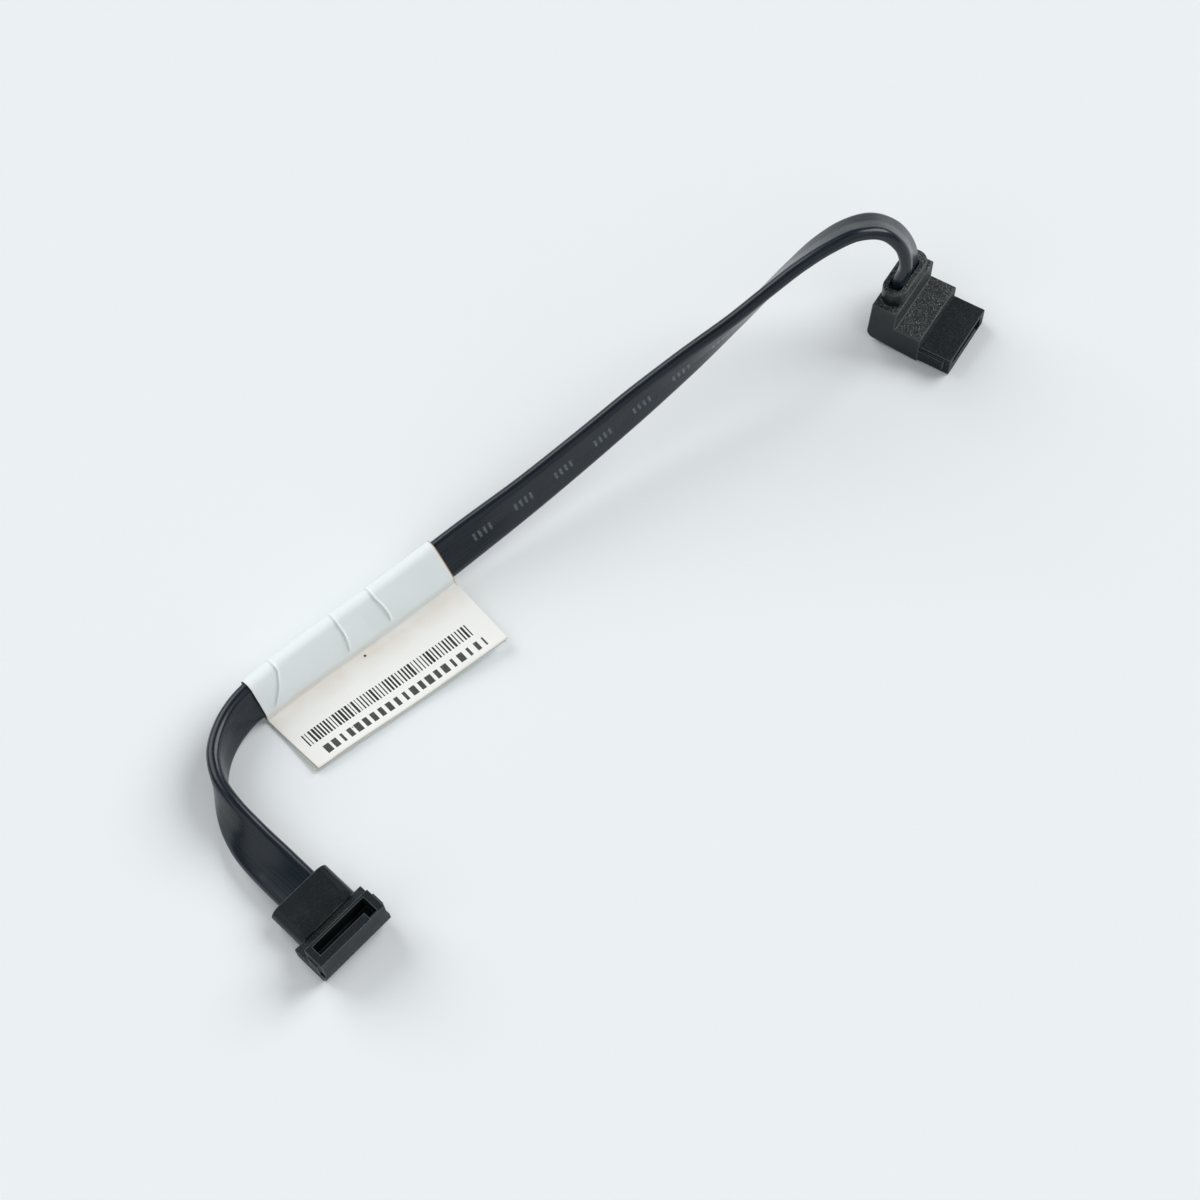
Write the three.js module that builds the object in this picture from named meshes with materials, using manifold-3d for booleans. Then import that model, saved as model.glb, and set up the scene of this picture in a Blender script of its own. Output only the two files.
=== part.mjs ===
// A short flat data cable for a disk drive, as it lies on a table. One end has an upright
// right-angle plug, the other end a low right-angle plug that lies on its back. A paper label is
// folded round the ribbon between them.
// Millimetres, +Z up. The origin is on the table, midway between the two plugs. +X runs along the
// cable towards the upright plug, whose mating face looks along -Y.

import * as THREE from 'three';
import { mergeVertices } from 'three/addons/utils/BufferGeometryUtils.js';
import Module from 'manifold-3d';

const wasm = await Module();
wasm.setup();

// Fits, and how far a cut is drawn past the face it opens
const gap = 0.3;
const cutPast = 1;
const cutSkin = 0.01;

// Mating interface, the same on both plugs. In a plug's own frame X runs across it, Y runs back
// from the mating face and Z runs from its underside to the side where the cable leaves.
const noseWidth = 13.4;
const noseHeight = 3.9;
const railFront = 1.3;
const railUnderside = 0.9;
const railHeight = 2.3;
const slotWidth = 10.9;
const slotHeight = 1.9;
const slotFloorWall = 1.5;
const keyWidth = 1.65;
const keyDepth = 1.2;
const slotLeadIn = 0.15;
const insertWidth = 11.6;
const insertHeight = 2.4;
const insertUnderside = 0.9;

// Contacts and what joins them to the ribbon
const contactCount = 7;
const contactPitch = 1.27;
const contactShift = -0.75;
const contactWidth = 0.5;
const contactThickness = 0.25;
const contactHeight = 0.95;
const contactTailHeight = 2.1;
const contactSideGap = 0.24;
const contactTipSetback = 1.1;
const contactBumpRise = 0.67;
const contactBumpLength = 1.7;
const groundContacts = [1, 4, 7];
const signalWireDiameter = 0.5;
const drainWireDiameter = 0.4;
const wirePitchInRibbon = 1.04;
const wireSteps = 10;
const wireSides = 8;
const wireLeadOut = 1;
const wireBendSetback = 0.5;
const wireBendRise = 0.7;
const wireBendTop = 2;

// Ribbon
const ribbonWidth = 7.7;
const ribbonThickness = 2.3;
const ribbonSteps = 78;
const ribbonEndSides = 5;
const pathSamples = 600;

// Label: a strip of coated paper that goes round the ribbon and is stuck to itself as a flag
const labelLength = 39.5;
const labelStart = 44.4;
const labelSheet = 0.15;
const labelFlagWidth = 15.1;
const labelFlagTaper = 0.11;
const labelFlagCurl = 0.4;
const labelSteps = 14;
const labelEndSides = 6;

// Upright plug
const uprightNoseLength = 6.2;
const uprightSlotDepth = 5.0;
const uprightInsertLength = 2.4;
const uprightWidth = 14.2;
const uprightBlockLength = 5.1;
const uprightBlockHeight = 5.9;
const uprightRearLength = 5.2;
const uprightRearHeight = 9.95;
const uprightRearLean = 0.3;
const uprightHeelRadius = 1.5;
const uprightHeelRise = 0.7;
const uprightGlandLength = 11.6;
const uprightGlandDepth = 4.6;
const uprightGlandHeight = 3.05;
const uprightGlandSetback = 2.6;
const uprightGlandFunnel = 0.5;
const uprightSeatDepth = 3.7;
const uprightTailLength = 1.8;
const uprightDuctFloor = 1.5;

// Low plug
const lowNoseLength = 5.05;
const lowSlotDepth = 4.2;
const lowInsertLength = 0.9;
const lowWidth = 14.2;
const lowDepth = 8.3;
const lowFlangeHeight = 6.75;
const lowHeelDepth = 1.7;
const lowHeelRise = 0.7;
const lowBootWidth = 11.8;
const lowBootThickness = 3.9;
const lowBootLength = 6.8;
const lowSeatDepth = 5.0;
const lowWireSetback = 6.5;
const lowTailTop = 3.2;

// Where the ribbon is seated in each plug
const uprightRear = uprightNoseLength + uprightBlockLength + uprightRearLength;
const uprightGlandY = uprightRear - uprightGlandSetback - uprightRearLean / 2;
const uprightGlandTop = uprightRearHeight + uprightGlandHeight;
const uprightSeatFloor = uprightGlandTop - uprightSeatDepth;
const lowBootY = lowDepth - lowBootThickness / 2;
const lowBootTop = lowFlangeHeight + lowBootLength;
const lowSeatFloor = lowBootTop - lowSeatDepth;
const seatSize = [ribbonWidth + 2 * gap, ribbonThickness + 2 * gap];

// Hollows in the moulded bodies
const chamberWall = 0.9;
const wireSpread = contactPitch * (contactCount - 1) + 2 * Math.abs(contactShift);
const riserWidth = wireSpread + contactWidth + 2 * gap;
const riserThickness = 1.5;

// Places on the table
const uprightAt = new THREE.Vector2(76.7, -21.05);
const lowYaw = -12.5;
const lowPitch = 1.9;
const lowRoll = -5.6;

// The ribbon's route from the low plug to the upright one: the middle of the section, and how far
// it has turned about its own length, in degrees, since it left the low plug
const ribbonRoute = [
  [-74.4, 15.1, 2.9, 0],
  [-73.5, 18.9, 3.1, -2],
  [-72.2, 24.8, 3.4, -13],
  [-70.6, 31.0, 3.7, -33],
  [-68.3, 36.4, 4.0, -60],
  [-65.4, 40.5, 4.0, -82],
  [-61.6, 43.6, 4.0, -95],
  [-56.9, 45.2, 4.0, -102],
  [-51.8, 45.3, 4.2, -109],
  [-46.0, 43.9, 4.3, -115],
  [-38.1, 41.6, 4.3, -119],
  [-28.4, 38.5, 4.3, -122],
  [-17.1, 34.7, 4.9, -123],
  [-5.9, 30.9, 6.1, -119],
  [5.2, 26.9, 7.7, -110],
  [16.3, 23.0, 9.9, -105],
  [27.3, 19.1, 12.6, -100],
  [38.1, 15.0, 15.7, -87],
  [47.0, 11.5, 18.6, -70],
  [54.1, 8.9, 21.1, -60],
  [60.4, 6.5, 23.4, -50],
  [65.7, 4.1, 25.1, -39],
  [70.3, 1.3, 26.0, -31],
  [73.9, -1.9, 25.2, -19],
  [76.0, -5.1, 22.2, -4],
  [76.7, -7.1, 17.8, 13],
  [76.7, -7.3, 13.3, 34],
  [76.7, -7.3, 9.6, 36],
];

const blackPvc = new THREE.MeshStandardMaterial({ color: 0x25292c, roughness: 0.42, metalness: 0 });
const blackMoulding = new THREE.MeshStandardMaterial({ color: 0x1c1e1f, roughness: 0.7, metalness: 0 });
const blackNylon = new THREE.MeshStandardMaterial({ color: 0x202224, roughness: 0.55, metalness: 0 });
const goldPlate = new THREE.MeshStandardMaterial({ color: 0xc9a24a, roughness: 0.3, metalness: 1 });
const tinnedCopper = new THREE.MeshStandardMaterial({ color: 0xb8bcc0, roughness: 0.35, metalness: 1 });
const whitePaper = new THREE.MeshStandardMaterial({ color: 0xe9e8e4, roughness: 0.6, metalness: 0 });

// Solid geometry

function closed(geometry) {
  const bare = geometry.clone();
  bare.deleteAttribute('normal');
  bare.deleteAttribute('uv');
  return mergeVertices(bare, 1e-5);
}

function toSolid(geometry) {
  const merged = closed(geometry);
  return new wasm.Manifold(new wasm.Mesh({
    numProp: 3,
    vertProperties: new Float32Array(merged.attributes.position.array),
    triVerts: new Uint32Array(merged.index.array),
  }));
}

function combine(added, removed = []) {
  let solid = toSolid(added[0]);
  for (const geometry of added.slice(1)) solid = solid.add(toSolid(geometry));
  for (const geometry of removed) solid = solid.subtract(toSolid(geometry));
  const mesh = solid.getMesh();
  const result = new THREE.BufferGeometry();
  result.setAttribute('position', new THREE.BufferAttribute(mesh.vertProperties, 3));
  result.setIndex(new THREE.BufferAttribute(mesh.triVerts, 1));
  result.computeVertexNormals();
  return result;
}

function box([x0, x1], [y0, y1], [z0, z1]) {
  const geometry = new THREE.BoxGeometry(x1 - x0, y1 - y0, z1 - z0);
  return geometry.translate((x0 + x1) / 2, (y0 + y1) / 2, (z0 + z1) / 2);
}

// A profile drawn in (y, z), drawn out across X
function sideExtrusion(shape, x0, x1) {
  const geometry = new THREE.ExtrudeGeometry(shape, { depth: x1 - x0, bevelEnabled: false });
  const yAxis = new THREE.Vector3(0, 1, 0);
  const zAxis = new THREE.Vector3(0, 0, 1);
  const xAxis = new THREE.Vector3(1, 0, 0);
  return geometry.applyMatrix4(new THREE.Matrix4().makeBasis(yAxis, zAxis, xAxis)).translate(x0, 0, 0);
}

// A long outline with full-round ends, its long side along x
function roundedSlot(length, depth, endSides) {
  const points = [];
  for (const side of [1, -1]) {
    for (let i = 0; i <= endSides; i += 1) {
      const angle = Math.PI * (i / endSides - 0.5);
      const reach = (length - depth) / 2 + (depth / 2) * Math.cos(angle);
      points.push(new THREE.Vector2(side * reach, side * (depth / 2) * Math.sin(angle)));
    }
  }
  return new THREE.Shape(points);
}

// A roundedSlot column between two heights, whose section may change from foot to head
function slotColumn([footLength, footDepth], [headLength, headDepth], y, [z0, z1], endSides = 8) {
  const column = new THREE.ExtrudeGeometry(roundedSlot(footLength, footDepth, endSides), {
    depth: z1 - z0,
    bevelEnabled: false,
  });
  const head = roundedSlot(headLength, headDepth, endSides).getPoints();
  const foot = roundedSlot(footLength, footDepth, endSides).getPoints();
  const position = column.attributes.position;
  for (let i = 0; i < position.count; i += 1) {
    if (position.getZ(i) < (z1 - z0) / 2) continue;
    const at = new THREE.Vector2(position.getX(i), position.getY(i));
    const match = foot.findIndex((point) => point.distanceTo(at) < 1e-6);
    position.setXY(i, head[match].x, head[match].y);
  }
  return column.translate(0, y, z0);
}

// A bent strip of sheet metal in (y, z), seen edge on
function stripShape(line, thickness) {
  const left = [];
  const right = [];
  line.forEach((point, i) => {
    const before = line[Math.max(i - 1, 0)];
    const after = line[Math.min(i + 1, line.length - 1)];
    const incoming = point.clone().sub(before).normalize();
    const outgoing = after.clone().sub(point).normalize();
    const along = incoming.add(outgoing).normalize();
    const other = i === 0 ? after.clone().sub(point).normalize() : point.clone().sub(before).normalize();
    const mitre = (thickness / 2) / Math.abs(along.dot(other));
    left.push(new THREE.Vector2(point.x - along.y * mitre, point.y + along.x * mitre));
    right.unshift(new THREE.Vector2(point.x + along.y * mitre, point.y - along.x * mitre));
  });
  return new THREE.Shape([...left, ...right]);
}

// The ribbon's path, which carries the direction of the ribbon's width along with it

class RibbonPath extends THREE.CatmullRomCurve3 {
  constructor(rows, startWidth) {
    super(rows.map(([x, y, z]) => new THREE.Vector3(x, y, z)));
    this.arcLengthDivisions = 2 * pathSamples;
    this.turns = new THREE.CatmullRomCurve3(rows.map((row) => new THREE.Vector3(row[3], 0, 0)));
    this.carried = [startWidth.clone()];
    for (let i = 0; i <= pathSamples; i += 1) {
      const tangent = this.getTangentAt(i / pathSamples);
      const last = this.carried[Math.max(i - 1, 0)];
      this.carried[i] = last.clone().addScaledVector(tangent, -last.dot(tangent)).normalize();
    }
  }

  frameAt(u) {
    const tangent = this.getTangentAt(u);
    const turn = this.turns.getPoint(this.getUtoTmapping(u)).x;
    const width = this.carried[Math.round(u * pathSamples)].clone();
    width.addScaledVector(tangent, -width.dot(tangent)).normalize();
    width.applyAxisAngle(tangent, THREE.MathUtils.degToRad(turn));
    return { tangent, width, thickness: tangent.clone().cross(width) };
  }

  computeFrenetFrames(steps) {
    return new PathStretch(this, 0, 1).computeFrenetFrames(steps);
  }
}

class PathStretch extends THREE.Curve {
  constructor(path, from, to) {
    super();
    this.path = path;
    this.from = from;
    this.to = to;
  }

  along(t) {
    return this.from + (this.to - this.from) * t;
  }

  getPoint(t) {
    return this.path.getPointAt(this.along(t));
  }

  computeFrenetFrames(steps) {
    const frames = { tangents: [], normals: [], binormals: [] };
    for (let i = 0; i <= steps; i += 1) {
      const { tangent, width, thickness } = this.path.frameAt(this.along(i / steps));
      frames.tangents.push(tangent);
      frames.normals.push(width);
      frames.binormals.push(thickness);
    }
    return frames;
  }
}

const rad = THREE.MathUtils.degToRad;

// A right-angle plug lies with its cable side turned level: pitch and roll are what is left over
const lowTurn = new THREE.Quaternion()
  .setFromAxisAngle(new THREE.Vector3(0, 0, 1), rad(lowYaw))
  .multiply(new THREE.Quaternion().setFromAxisAngle(new THREE.Vector3(1, 0, 0), rad(lowPitch - 90)))
  .multiply(new THREE.Quaternion().setFromAxisAngle(new THREE.Vector3(0, 0, 1), rad(lowRoll)));

const ribbonPath = new RibbonPath(ribbonRoute, new THREE.Vector3(-1, 0, 0).applyQuaternion(lowTurn));

function makeRibbon() {
  const section = roundedSlot(ribbonWidth, ribbonThickness, ribbonEndSides);
  return new THREE.ExtrudeGeometry(section, { steps: ribbonSteps, extrudePath: ribbonPath });
}

// The line where the flag leaves the sleeve's lower edge: the flag runs out level from it
class FoldLine extends PathStretch {
  constructor(path, from, to, drop) {
    super(path, from, to);
    this.drop = drop;
  }

  getPoint(t) {
    return super.getPoint(t).addScaledVector(this.path.frameAt(this.along(t)).width, this.drop);
  }

  computeFrenetFrames(steps) {
    const frames = super.computeFrenetFrames(steps);
    frames.tangents.forEach((tangent, i) => {
      frames.normals[i].crossVectors(tangent, new THREE.Vector3(0, 0, 1)).normalize();
      frames.binormals[i].crossVectors(tangent, frames.normals[i]);
      frames.normals[i].multiplyScalar(1 + labelFlagTaper * (i / steps - 0.5));
    });
    return frames;
  }
}

// The sleeve round the ribbon, and the flag where the strip's two ends are stuck together
function makeLabel() {
  const length = ribbonPath.getLength();
  const ends = [labelStart / length, (labelStart + labelLength) / length];
  const [innerWidth, innerThickness] = seatSize;
  const sleeve = roundedSlot(innerWidth + 2 * labelSheet, innerThickness + 2 * labelSheet, labelEndSides);
  const inside = roundedSlot(innerWidth, innerThickness, labelEndSides);
  sleeve.holes.push(new THREE.Path(inside.getPoints().reverse()));

  const foldRadius = (innerThickness + labelSheet) / 2;
  const flag = stripShape([
    new THREE.Vector2(0, foldRadius),
    new THREE.Vector2(labelFlagWidth / 3, foldRadius),
    new THREE.Vector2((2 * labelFlagWidth) / 3, foldRadius - labelFlagCurl / 4),
    new THREE.Vector2(labelFlagWidth, foldRadius - labelFlagCurl),
  ], 2 * labelSheet);
  const wrapped = new PathStretch(ribbonPath, ...ends);
  const foldLine = new FoldLine(ribbonPath, ...ends, (innerWidth - innerThickness) / 2);
  return combine([
    new THREE.ExtrudeGeometry(sleeve, { steps: labelSteps, extrudePath: wrapped }),
    new THREE.ExtrudeGeometry(flag, { steps: labelSteps, extrudePath: foldLine }),
  ]);
}

// Plug pieces

function contactX(index) {
  return contactShift + contactPitch * (index - (contactCount + 1) / 2);
}

function makeHousing(noseLength, slotDepth, insertLength, bodyWidth) {
  const half = noseWidth / 2;
  const rear = noseLength + insertLength;
  const slotTop = slotFloorWall + slotHeight;
  const nose = box([-half, half], [0, noseLength], [0, noseHeight]);
  const insert = box(
    [-insertWidth / 2, insertWidth / 2],
    [noseLength / 2, rear],
    [insertUnderside, insertUnderside + insertHeight],
  );
  const rails = box(
    [-bodyWidth / 2, bodyWidth / 2],
    [railFront, noseLength],
    [railUnderside, railUnderside + railHeight],
  );
  const keyLeft = slotWidth / 2 - keyWidth;
  const slotLine = new THREE.Shape([
    new THREE.Vector2(-slotWidth / 2, slotFloorWall),
    new THREE.Vector2(keyLeft, slotFloorWall),
    new THREE.Vector2(keyLeft, slotFloorWall - keyDepth),
    new THREE.Vector2(slotWidth / 2, slotFloorWall - keyDepth),
    new THREE.Vector2(slotWidth / 2, slotTop),
    new THREE.Vector2(-slotWidth / 2, slotTop),
  ]);
  const slot = new THREE.ExtrudeGeometry(slotLine, { depth: slotDepth + cutPast, bevelEnabled: false });
  slot.rotateX(Math.PI / 2).translate(0, slotDepth, 0);
  const cuts = [slot, leadInCut(slotLine)];
  const grooveFloor = contactHeight - contactThickness / 2 - gap;
  const grooveTop = contactTailHeight + contactThickness / 2 + gap;
  const slotMiddle = slotFloorWall + slotHeight / 2;
  for (let i = 1; i <= contactCount; i += 1) {
    const reach = contactWidth / 2 + contactSideGap;
    const across = [contactX(i) - reach, contactX(i) + reach];
    cuts.push(box(across, [contactTipSetback - gap, slotDepth], [grooveFloor, slotMiddle]));
    cuts.push(box(across, [slotDepth - gap, rear + cutPast], [grooveFloor, grooveTop]));
  }
  return combine([nose, insert, rails], cuts);
}

// The bevel round the slot's mouth, a frustum over the slot's outline
function leadInCut(outline) {
  const mouth = new THREE.ExtrudeGeometry(outline, {
    depth: 2 * cutSkin,
    bevelEnabled: true,
    bevelSegments: 1,
    bevelThickness: slotLeadIn,
    bevelSize: slotLeadIn,
    bevelOffset: 0,
  });
  return mouth.rotateX(Math.PI / 2).translate(0, cutSkin, 0);
}

function makeContact(noseSlotDepth, tail) {
  const bumpPeak = contactTipSetback + contactBumpLength / 2;
  const line = [
    new THREE.Vector2(contactTipSetback, contactHeight),
    new THREE.Vector2(bumpPeak, contactHeight + contactBumpRise),
    new THREE.Vector2(contactTipSetback + contactBumpLength, contactHeight),
    new THREE.Vector2(noseSlotDepth - gap, contactHeight),
    new THREE.Vector2(noseSlotDepth + contactTailHeight - contactHeight, contactTailHeight),
    ...tail,
  ];
  return sideExtrusion(stripShape(line, contactThickness), -contactWidth / 2, contactWidth / 2);
}

// A conductor from a contact's tail to the end of the ribbon
function makeWire(points, diameter) {
  const outline = new THREE.Shape();
  outline.absarc(0, 0, diameter / 2, 0, 2 * Math.PI, false);
  return new THREE.ExtrudeGeometry(outline, {
    steps: wireSteps,
    curveSegments: wireSides,
    extrudePath: new THREE.CatmullRomCurve3(points),
  });
}

function makeUprightOvermould() {
  const half = uprightWidth / 2;
  const blockFront = uprightNoseLength;
  const rearFront = blockFront + uprightBlockLength;
  const profile = new THREE.Shape();
  profile.moveTo(blockFront, 0);
  profile.lineTo(uprightRear - uprightHeelRadius, uprightHeelRise);
  profile.absarc(uprightRear - uprightHeelRadius, uprightHeelRise + uprightHeelRadius, uprightHeelRadius,
    -Math.PI / 2, 0, false);
  profile.lineTo(uprightRear - uprightRearLean, uprightRearHeight);
  profile.lineTo(rearFront, uprightRearHeight);
  profile.lineTo(rearFront, uprightBlockHeight);
  profile.lineTo(blockFront, uprightBlockHeight);
  profile.closePath();
  const body = sideExtrusion(profile, -half, half);

  const glandSize = [uprightGlandLength, uprightGlandDepth];
  const gland = slotColumn(glandSize, glandSize, uprightGlandY, [uprightRearHeight - gap, uprightGlandTop]);
  const pocket = slotColumn(seatSize, seatSize, uprightGlandY, [uprightSeatFloor, uprightGlandTop + cutPast]);
  const mouth = seatSize.map((size) => size + 2 * uprightGlandFunnel);
  const funnelHeights = [uprightGlandTop - uprightGlandFunnel, uprightGlandTop + cutSkin];
  const funnel = slotColumn(seatSize, mouth, uprightGlandY, funnelHeights);
  const chamberRear = blockFront + uprightInsertLength + gap;
  const chamberTop = insertUnderside + insertHeight + gap;
  const chamber = box(
    [-insertWidth / 2 - gap, insertWidth / 2 + gap],
    [blockFront - cutPast, chamberRear],
    [insertUnderside - gap, chamberTop],
  );
  const duct = box(
    [-riserWidth / 2, riserWidth / 2],
    [chamberRear - gap, uprightGlandY + riserThickness / 2],
    [uprightDuctFloor, chamberTop],
  );
  const riser = box(
    [-riserWidth / 2, riserWidth / 2],
    [uprightGlandY - riserThickness / 2, uprightGlandY + riserThickness / 2],
    [uprightDuctFloor, uprightSeatFloor + gap],
  );
  return combine([body, gland], [chamber, duct, riser, pocket, funnel]);
}

function makeLowOvermould() {
  const half = lowWidth / 2;
  const flangeFront = lowNoseLength;
  const profile = new THREE.Shape([
    new THREE.Vector2(flangeFront, 0),
    new THREE.Vector2(lowDepth - lowHeelDepth, 0),
    new THREE.Vector2(lowDepth, lowHeelRise),
    new THREE.Vector2(lowDepth, lowFlangeHeight),
    new THREE.Vector2(flangeFront, lowFlangeHeight),
  ]);
  const flange = sideExtrusion(profile, -half, half);
  const bootSize = [lowBootWidth, lowBootThickness];
  const boot = slotColumn(bootSize, bootSize, lowBootY, [lowFlangeHeight - gap, lowBootTop]);
  const pocket = slotColumn(seatSize, seatSize, lowBootY, [lowSeatFloor, lowBootTop + cutPast]);
  const chamber = box(
    [-insertWidth / 2 - gap, insertWidth / 2 + gap],
    [flangeFront - cutPast, lowDepth - chamberWall],
    [insertUnderside - gap, insertUnderside + insertHeight + gap],
  );
  const wireRoom = signalWireDiameter / 2 + gap;
  const riserFront = Math.min(lowWireSetback - riserThickness / 2, lowBootY - wireRoom);
  const riserBack = Math.max(lowWireSetback + riserThickness / 2, lowBootY + wireRoom);
  const riser = box(
    [-riserWidth / 2, riserWidth / 2],
    [riserFront, riserBack],
    [insertUnderside + gap, lowSeatFloor + gap],
  );
  return combine([flange, boot], [chamber, riser, pocket]);
}

// Assembly

function named(name, geometry, material) {
  const mesh = new THREE.Mesh(geometry, material);
  mesh.name = name;
  return mesh;
}

function addContactsAndWires(plug, prefix, contact, wireLine) {
  for (let i = 1; i <= contactCount; i += 1) {
    const pin = named(`${prefix}_contact_${i}`, contact, goldPlate);
    pin.position.x = contactX(i);
    plug.add(pin);
    const ground = groundContacts.includes(i);
    const wire = makeWire(wireLine(contactX(i), wirePitchInRibbon * (i - (contactCount + 1) / 2)),
      ground ? drainWireDiameter : signalWireDiameter);
    plug.add(named(`${prefix}_${ground ? 'drain' : 'signal'}_wire_${i}`, wire, tinnedCopper));
  }
}

function makeUprightPlug() {
  const plug = new THREE.Group();
  plug.add(named('upright_plug_overmould', makeUprightOvermould(), blackMoulding));
  const housing = makeHousing(uprightNoseLength, uprightSlotDepth, uprightInsertLength, uprightWidth);
  plug.add(named('upright_plug_housing', housing, blackNylon));

  const tailEnd = uprightNoseLength + uprightInsertLength + uprightTailLength;
  const contact = makeContact(uprightSlotDepth, [new THREE.Vector2(tailEnd, contactTailHeight)]);
  addContactsAndWires(plug, 'upright_plug', contact, (fromX, toX) => [
    new THREE.Vector3(fromX, tailEnd + gap, contactTailHeight),
    new THREE.Vector3(fromX, tailEnd + gap + wireLeadOut, contactTailHeight),
    new THREE.Vector3((2 * fromX + toX) / 3, uprightGlandY - wireBendSetback,
      contactTailHeight + wireBendRise),
    new THREE.Vector3((fromX + toX) / 2, uprightGlandY, contactTailHeight + wireBendTop),
    new THREE.Vector3(toX, uprightGlandY, uprightSeatFloor - wireLeadOut),
    new THREE.Vector3(toX, uprightGlandY, uprightSeatFloor),
  ]);
  plug.position.set(uprightAt.x, uprightAt.y, 0);
  return plug;
}

function makeLowPlug() {
  const plug = new THREE.Group();
  plug.add(named('low_plug_overmould', makeLowOvermould(), blackMoulding));
  const housing = makeHousing(lowNoseLength, lowSlotDepth, lowInsertLength, lowWidth);
  plug.add(named('low_plug_housing', housing, blackNylon));

  const contact = makeContact(lowSlotDepth, [
    new THREE.Vector2(lowWireSetback, contactTailHeight),
    new THREE.Vector2(lowWireSetback, lowTailTop),
  ]);
  const wireMiddle = (lowTailTop + gap + lowSeatFloor) / 2;
  addContactsAndWires(plug, 'low_plug', contact, (fromX, toX) => [
    new THREE.Vector3(fromX, lowWireSetback, lowTailTop + gap),
    new THREE.Vector3(fromX, lowWireSetback, lowTailTop + gap + wireLeadOut),
    new THREE.Vector3((fromX + toX) / 2, (lowWireSetback + lowBootY) / 2, wireMiddle),
    new THREE.Vector3(toX, lowBootY, lowSeatFloor - wireLeadOut),
    new THREE.Vector3(toX, lowBootY, lowSeatFloor),
  ]);

  // The boot's mouth stays at the ribbon, and the plug's lowest corner stays on the table
  plug.quaternion.copy(lowTurn);
  const [endX, endY, endZ] = ribbonRoute[0];
  const seat = new THREE.Vector3(0, lowBootY, lowSeatFloor + gap).applyQuaternion(lowTurn);
  plug.position.set(endX - seat.x, endY - seat.y, endZ - seat.z);
  plug.updateMatrixWorld(true);
  plug.position.z -= new THREE.Box3().setFromObject(plug, true).min.z;
  return plug;
}

const cable = new THREE.Group();
cable.add(named('ribbon_cable', makeRibbon(), blackPvc));
cable.add(named('label', makeLabel(), whitePaper));
cable.add(makeUprightPlug());
cable.add(makeLowPlug());

export default cable;
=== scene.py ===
from math import cos, pi, radians, sin

import bmesh
import bpy
import numpy as np
from mathutils import Matrix, Vector


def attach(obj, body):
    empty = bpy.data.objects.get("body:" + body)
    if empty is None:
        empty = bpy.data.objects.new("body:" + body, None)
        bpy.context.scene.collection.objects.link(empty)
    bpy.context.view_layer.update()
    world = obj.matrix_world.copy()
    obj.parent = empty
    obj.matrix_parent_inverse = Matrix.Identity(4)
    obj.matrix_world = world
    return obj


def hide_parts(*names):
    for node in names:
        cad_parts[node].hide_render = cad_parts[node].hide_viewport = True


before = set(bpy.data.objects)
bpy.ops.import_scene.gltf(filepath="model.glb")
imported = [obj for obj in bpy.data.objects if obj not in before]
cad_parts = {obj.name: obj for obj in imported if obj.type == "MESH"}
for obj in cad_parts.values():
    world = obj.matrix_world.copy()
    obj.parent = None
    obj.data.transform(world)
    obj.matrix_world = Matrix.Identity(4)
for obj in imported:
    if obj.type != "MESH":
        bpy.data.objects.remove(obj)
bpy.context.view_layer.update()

# Camera
# The photo is taken from about 0.4 m with a fairly long lens, looking down at sixty degrees across
# the cable, so that the upright plug is at the top right and the low plug at the bottom left.

scene = bpy.context.scene
camera_place = Vector((-0.1804, -0.1009, 0.3602))
camera_target = Vector((-0.0021, 0.0078, 0.0))
photo_right = Vector((0.5206, -0.8538, 0.0)).normalized()
photo_away = Vector((0.8538, 0.5206, 0.0)).normalized()

camera = bpy.data.objects.new("camera", bpy.data.cameras.new("camera"))
camera.data.sensor_fit = "HORIZONTAL"
camera.data.sensor_width = 36
camera.data.lens = 73.83
camera.data.clip_start = 0.01
camera.data.clip_end = 20
sight = (camera_target - camera_place).normalized()
camera_turn = Matrix((photo_right, photo_right.cross(sight), -sight)).transposed()
camera.matrix_world = Matrix.Translation(camera_place) @ camera_turn.to_4x4()
scene.collection.objects.link(camera)
scene.camera = camera

# Ribbon
# A flat data cable: two screened pairs and three bare ground wires, drawn through one soft PVC
# sheath with full-round edges. It leaves the low plug flat, turns onto its edge through the loop,
# leans over on that edge under the label and climbs over to the upright plug.

mm = 0.001
ribbon_width = 7.7 * mm
ribbon_thickness = 2.3 * mm
ribbon_rings = 396
ribbon_edge_sides = 10
ribbon_face_sides = 12
ribbon_face_hollow = 0.04 * mm
ribbon_pair_rise = 0.7
route_samples = 3000
least_step = 1e-4

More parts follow.
